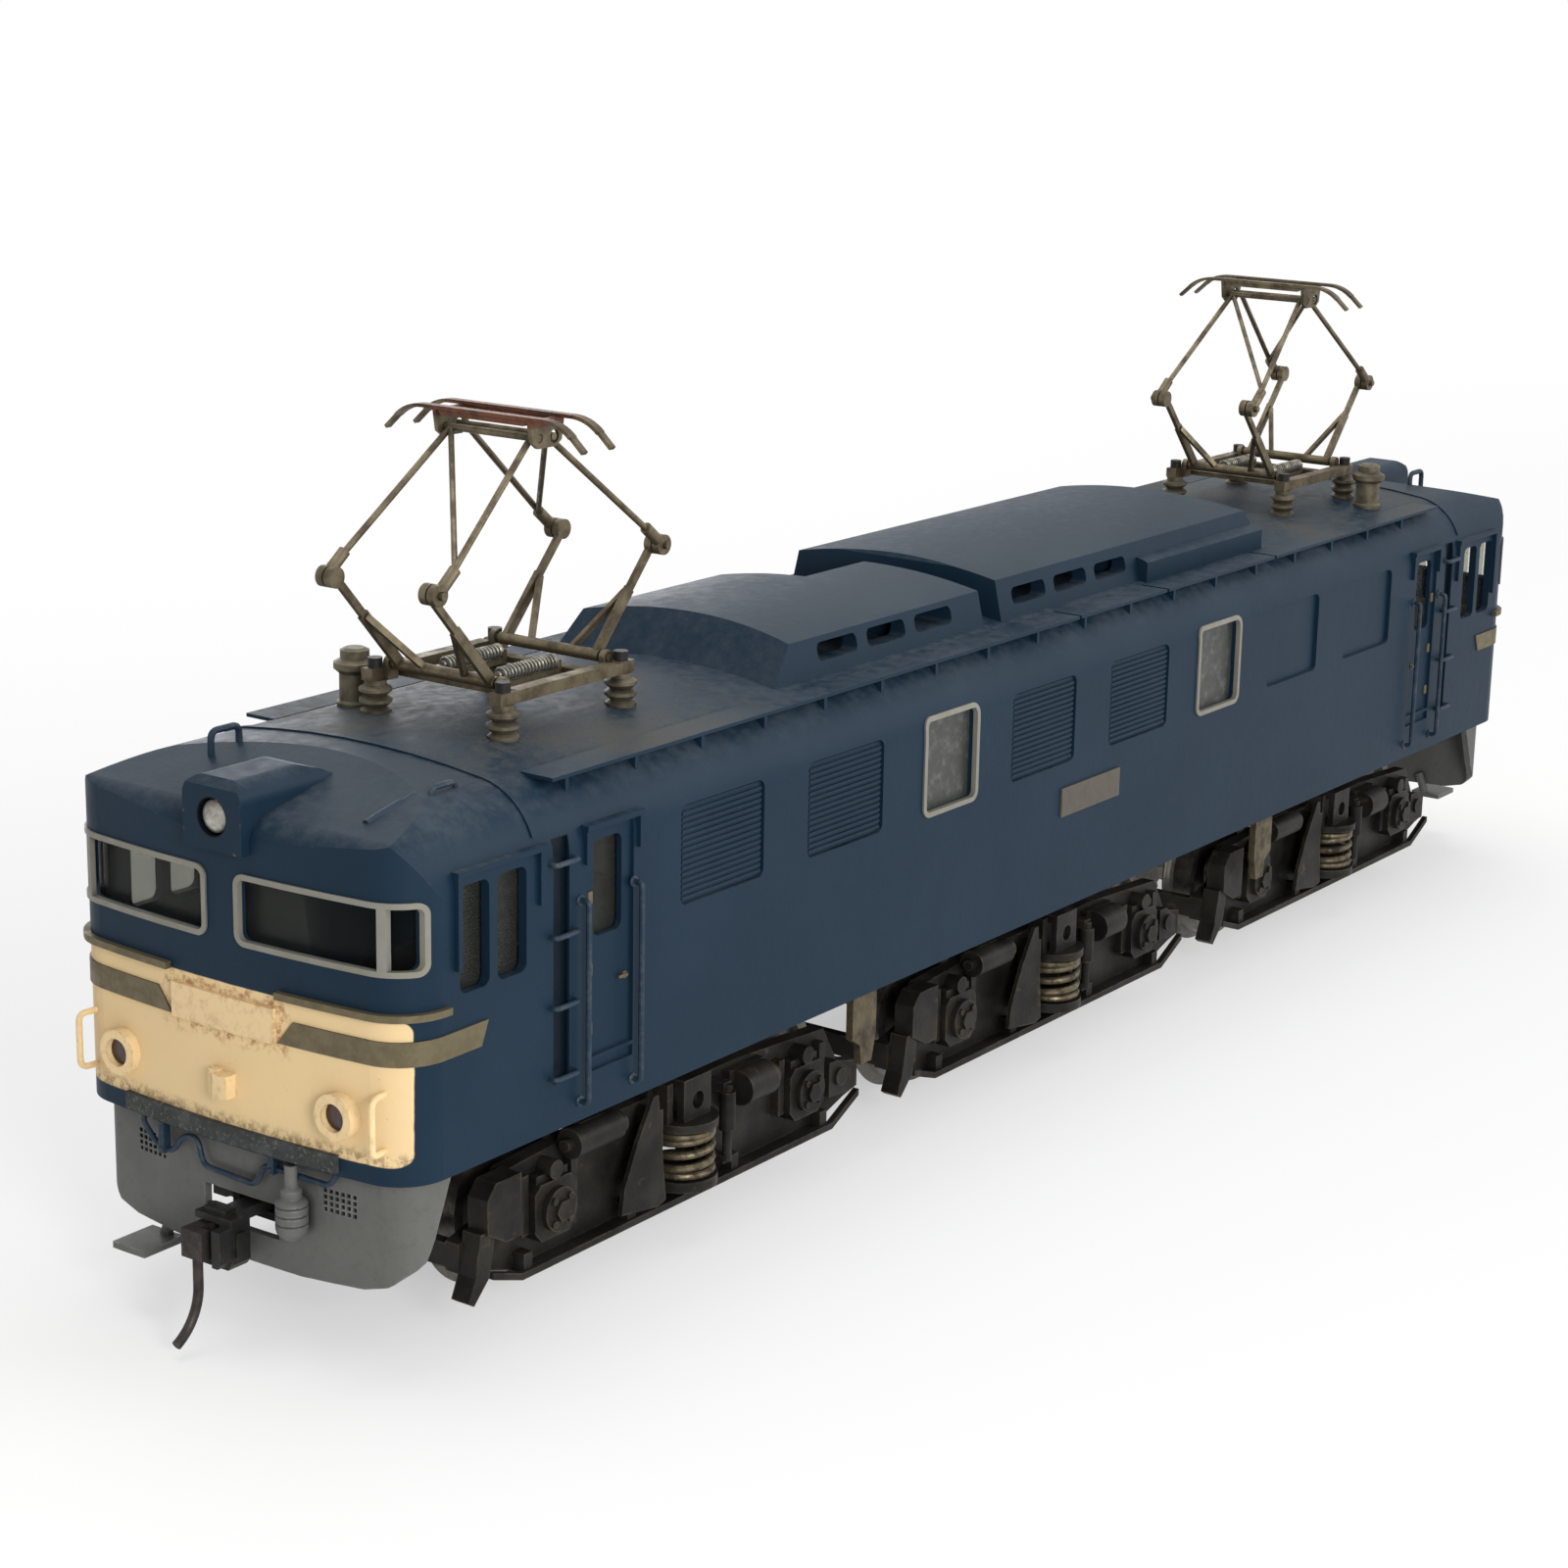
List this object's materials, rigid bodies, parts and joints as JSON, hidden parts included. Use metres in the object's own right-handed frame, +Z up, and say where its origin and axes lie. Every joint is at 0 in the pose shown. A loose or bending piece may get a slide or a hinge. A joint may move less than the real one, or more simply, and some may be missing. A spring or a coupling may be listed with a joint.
{
  "type": "model electric locomotive",
  "caption": "Scale model electric locomotive with swivelling bogies, turning wheelsets, folding roof pantographs and swinging couplers.",
  "frame": {"origin": "middle of the footprint, on the table that the wheel flanges stand on", "axes": "+X along the track, +Y across it, +Z up; the cab at -X is the front one"},
  "size_m": [0.2034, 0.0372, 0.0683],
  "materials": {
    "navy_paint": "satin dark blue, dusty and scuffed",
    "cream_paint": "satin cream, stained and chipped at the edges",
    "grey_metal": "dull grey-silver window frames",
    "trim_metal": "olive aged nickel on brass",
    "smoky_glass": "dark smoky glazing",
    "lamp_glass": "silvery headlight lens",
    "red_lens": "dark red-brown lamp lenses",
    "skirt_grey": "worn grey",
    "tread_strip": "worn dark green-grey",
    "running_black": "black-brown with brass showing on the edges",
    "bracket_brass": "dull aged brass",
    "spring_brass": "aged brass wire",
    "wheel_steel": "turned wheel metal",
    "drive_brass": "turned brass",
    "motor_steel": "plain plated steel",
    "weight_metal": "bare cast weight",
    "floor_black": "matte black",
    "panto_brass": "aged brown brass",
    "plate_brown": "bare brown number plate",
    "insulator_tan": "dull tan insulators with black caps",
    "coupler_black": "matte black",
    "screw_steel": "plain screws"
  },
  "bodies": {
    "locomotive": {"body_shell": "navy_paint", "headlight_lenses": "lamp_glass", "roof_monitor_front": "navy_paint", "roof_monitor_rear": "navy_paint", "roof_walkways": "navy_paint", "windscreen_frames": "grey_metal", "windscreen_glass": "smoky_glass", "side_window_frames": "grey_metal", "side_window_glass": "smoky_glass", "louvre_panels": "navy_paint", "blank_plates": "plate_brown", "front_trim": "trim_metal", "front_fittings": "cream_paint", "tail_lamp_lenses": "red_lens", "cab_handrails": "cream_paint", "body_handrails": "navy_paint", "rain_gutters": "navy_paint", "buffer_steps": "tread_strip", "end_skirts": "skirt_grey", "jumper_rails": "navy_paint", "corner_steps": "skirt_grey", "chassis_floor": "floor_black", "floor_brackets": "bracket_brass", "body_screws": "screw_steel", "motor_case": "motor_steel", "ballast_weights": "weight_metal", "roof_insulators": "insulator_tan", "pantograph_bases": "panto_brass", "pantograph_springs": "panto_brass", "coupler_boxes": "coupler_black"},
    "drive_shaft": {"drive_shaft": "wheel_steel"},
    "worm_front": {"worm_shaft_front": "drive_brass"},
    "worm_rear": {"worm_shaft_rear": "drive_brass"},
    "bogie_front": {"bogie_frame_front": "running_black", "bogie_springs_front": "spring_brass"},
    "bogie_middle": {"bogie_frame_middle": "running_black", "bogie_springs_middle": "spring_brass"},
    "bogie_rear": {"bogie_frame_rear": "running_black", "bogie_springs_rear": "spring_brass"},
    "swing_plate": {"swing_plate": "running_black"},
    "wheelset_1": {"wheelset_1": "wheel_steel"},
    "wheelset_2": {"wheelset_2": "wheel_steel"},
    "wheelset_3": {"wheelset_3": "wheel_steel"},
    "wheelset_4": {"wheelset_4": "wheel_steel"},
    "wheelset_5": {"wheelset_5": "wheel_steel"},
    "wheelset_6": {"wheelset_6": "wheel_steel"},
    "front_panto_arm_a": {"front_panto_arm_a": "panto_brass"},
    "front_panto_arm_b": {"front_panto_arm_b": "panto_brass"},
    "front_panto_upper_a": {"front_panto_upper_a": "panto_brass"},
    "front_panto_upper_b": {"front_panto_upper_b": "panto_brass"},
    "front_panto_head": {"front_panto_head": "panto_brass"},
    "coupler_front": {"coupler_front": "coupler_black"},
    "knuckle_front": {"knuckle_front": "coupler_black"},
    "rear_panto_arm_a": {"rear_panto_arm_a": "panto_brass"},
    "rear_panto_arm_b": {"rear_panto_arm_b": "panto_brass"},
    "rear_panto_upper_a": {"rear_panto_upper_a": "panto_brass"},
    "rear_panto_upper_b": {"rear_panto_upper_b": "panto_brass"},
    "rear_panto_head": {"rear_panto_head": "panto_brass"},
    "coupler_rear": {"coupler_rear": "coupler_black"},
    "knuckle_rear": {"knuckle_rear": "coupler_black"}
  },
  "joints": [
    {"name": "motor_spin", "type": "hinge", "parent": "locomotive", "child": "drive_shaft", "pos_m": [0, 0, 0.0143], "axis": [1, 0, 0], "continuous": true},
    {"name": "bogie_front_swivel", "type": "hinge", "parent": "locomotive", "child": "bogie_front", "pos_m": [-0.0585, 0, 0.017], "axis": [0, 0, 1], "range_deg": [-3, 3]},
    {"name": "worm_front_spin", "type": "hinge", "parent": "bogie_front", "child": "worm_front", "pos_m": [-0.0585, 0, 0.0143], "axis": [1, 0, 0], "continuous": true},
    {"name": "bogie_rear_swivel", "type": "hinge", "parent": "locomotive", "child": "bogie_rear", "pos_m": [0.0585, 0, 0.017], "axis": [0, 0, 1], "range_deg": [-3, 3]},
    {"name": "worm_rear_spin", "type": "hinge", "parent": "bogie_rear", "child": "worm_rear", "pos_m": [0.0585, 0, 0.0143], "axis": [1, 0, 0], "continuous": true},
    {"name": "bogie_middle_slide", "type": "slide", "parent": "locomotive", "child": "swing_plate", "axis": [0, 1, 0], "range_m": [-0.0015, 0.0015]},
    {"name": "bogie_middle_swivel", "type": "hinge", "parent": "swing_plate", "child": "bogie_middle", "pos_m": [0, 0, 0.006], "axis": [0, 0, 1], "range_deg": [-1, 1]},
    {"name": "wheelset_1_spin", "type": "hinge", "parent": "bogie_front", "child": "wheelset_1", "pos_m": [-0.0755, 0, 0.0079], "axis": [0, 1, 0], "continuous": true},
    {"name": "wheelset_2_spin", "type": "hinge", "parent": "bogie_front", "child": "wheelset_2", "pos_m": [-0.0415, 0, 0.0079], "axis": [0, 1, 0], "continuous": true},
    {"name": "wheelset_3_spin", "type": "hinge", "parent": "bogie_middle", "child": "wheelset_3", "pos_m": [-0.017, 0, 0.0079], "axis": [0, 1, 0], "continuous": true},
    {"name": "wheelset_4_spin", "type": "hinge", "parent": "bogie_middle", "child": "wheelset_4", "pos_m": [0.017, 0, 0.0079], "axis": [0, 1, 0], "continuous": true},
    {"name": "wheelset_5_spin", "type": "hinge", "parent": "bogie_rear", "child": "wheelset_5", "pos_m": [0.0415, 0, 0.0079], "axis": [0, 1, 0], "continuous": true},
    {"name": "wheelset_6_spin", "type": "hinge", "parent": "bogie_rear", "child": "wheelset_6", "pos_m": [0.0755, 0, 0.0079], "axis": [0, 1, 0], "continuous": true},
    {"name": "front_panto_raise", "type": "hinge", "parent": "locomotive", "child": "front_panto_arm_a", "pos_m": [-0.0714, 0, 0.048], "axis": [0, 1, 0], "range_deg": [-44, 0], "stiffness_Nm_per_rad": 0.0003, "springref_deg": 34.38},
    {"name": "front_panto_arm_b_fold", "type": "hinge", "parent": "locomotive", "child": "front_panto_arm_b", "pos_m": [-0.0586, 0, 0.048], "axis": [0, 1, 0], "range_deg": [0, 44]},
    {"name": "front_panto_upper_a_fold", "type": "hinge", "parent": "front_panto_arm_a", "child": "front_panto_upper_a", "pos_m": [-0.07876, 0, 0.05618], "axis": [0, 1, 0], "range_deg": [0, 79.64]},
    {"name": "front_panto_upper_b_fold", "type": "hinge", "parent": "front_panto_arm_b", "child": "front_panto_upper_b", "pos_m": [-0.05124, 0, 0.05618], "axis": [0, 1, 0], "range_deg": [-79.64, 0]},
    {"name": "front_panto_head_level", "type": "hinge", "parent": "front_panto_upper_a", "child": "front_panto_head", "pos_m": [-0.0659, 0, 0.06653], "axis": [0, 1, 0], "range_deg": [-35.64, 0]},
    {"name": "rear_panto_raise", "type": "hinge", "parent": "locomotive", "child": "rear_panto_arm_a", "pos_m": [0.0586, 0, 0.048], "axis": [0, 1, 0], "range_deg": [-44, 0], "stiffness_Nm_per_rad": 0.0003, "springref_deg": 34.38},
    {"name": "rear_panto_arm_b_fold", "type": "hinge", "parent": "locomotive", "child": "rear_panto_arm_b", "pos_m": [0.0714, 0, 0.048], "axis": [0, 1, 0], "range_deg": [0, 44]},
    {"name": "rear_panto_upper_a_fold", "type": "hinge", "parent": "rear_panto_arm_a", "child": "rear_panto_upper_a", "pos_m": [0.05124, 0, 0.05618], "axis": [0, 1, 0], "range_deg": [0, 79.64]},
    {"name": "rear_panto_upper_b_fold", "type": "hinge", "parent": "rear_panto_arm_b", "child": "rear_panto_upper_b", "pos_m": [0.07876, 0, 0.05618], "axis": [0, 1, 0], "range_deg": [-79.64, 0]},
    {"name": "rear_panto_head_level", "type": "hinge", "parent": "rear_panto_upper_a", "child": "rear_panto_head", "pos_m": [0.0641, 0, 0.06653], "axis": [0, 1, 0], "range_deg": [-35.64, 0]},
    {"name": "coupler_front_swing", "type": "hinge", "parent": "locomotive", "child": "coupler_front", "pos_m": [-0.088, 0, 0.0103], "axis": [0, 0, 1], "range_deg": [-10, 10], "stiffness_Nm_per_rad": 0.001},
    {"name": "knuckle_front_open", "type": "hinge", "parent": "coupler_front", "child": "knuckle_front", "pos_m": [-0.0972, 0.0011, 0.008], "axis": [0, 0, 1], "range_deg": [-30, 0], "stiffness_Nm_per_rad": 0.0002, "springref_deg": 11.46},
    {"name": "coupler_rear_swing", "type": "hinge", "parent": "locomotive", "child": "coupler_rear", "pos_m": [0.088, 0, 0.0103], "axis": [0, 0, 1], "range_deg": [-10, 10], "stiffness_Nm_per_rad": 0.001},
    {"name": "knuckle_rear_open", "type": "hinge", "parent": "coupler_rear", "child": "knuckle_rear", "pos_m": [0.0972, -0.0011, 0.008], "axis": [0, 0, 1], "range_deg": [-30, 0], "stiffness_Nm_per_rad": 0.0002, "springref_deg": 11.46}
  ],
  "couplings": [
    {"joint": "worm_front_spin", "follows": "motor_spin", "ratio": 1},
    {"joint": "worm_rear_spin", "follows": "motor_spin", "ratio": 1},
    {"joint": "wheelset_1_spin", "follows": "motor_spin", "ratio": 0.0625},
    {"joint": "wheelset_2_spin", "follows": "motor_spin", "ratio": 0.0625},
    {"joint": "wheelset_5_spin", "follows": "motor_spin", "ratio": 0.0625},
    {"joint": "wheelset_6_spin", "follows": "motor_spin", "ratio": 0.0625},
    {"joint": "front_panto_arm_b_fold", "follows": "front_panto_raise", "ratio": -1},
    {"joint": "front_panto_upper_a_fold", "follows": "front_panto_raise", "ratio": -1.81},
    {"joint": "front_panto_upper_b_fold", "follows": "front_panto_raise", "ratio": 1.81},
    {"joint": "front_panto_head_level", "follows": "front_panto_raise", "ratio": 0.81},
    {"joint": "rear_panto_arm_b_fold", "follows": "rear_panto_raise", "ratio": -1},
    {"joint": "rear_panto_upper_a_fold", "follows": "rear_panto_raise", "ratio": -1.81},
    {"joint": "rear_panto_upper_b_fold", "follows": "rear_panto_raise", "ratio": 1.81},
    {"joint": "rear_panto_head_level", "follows": "rear_panto_raise", "ratio": 0.81}
  ]
}
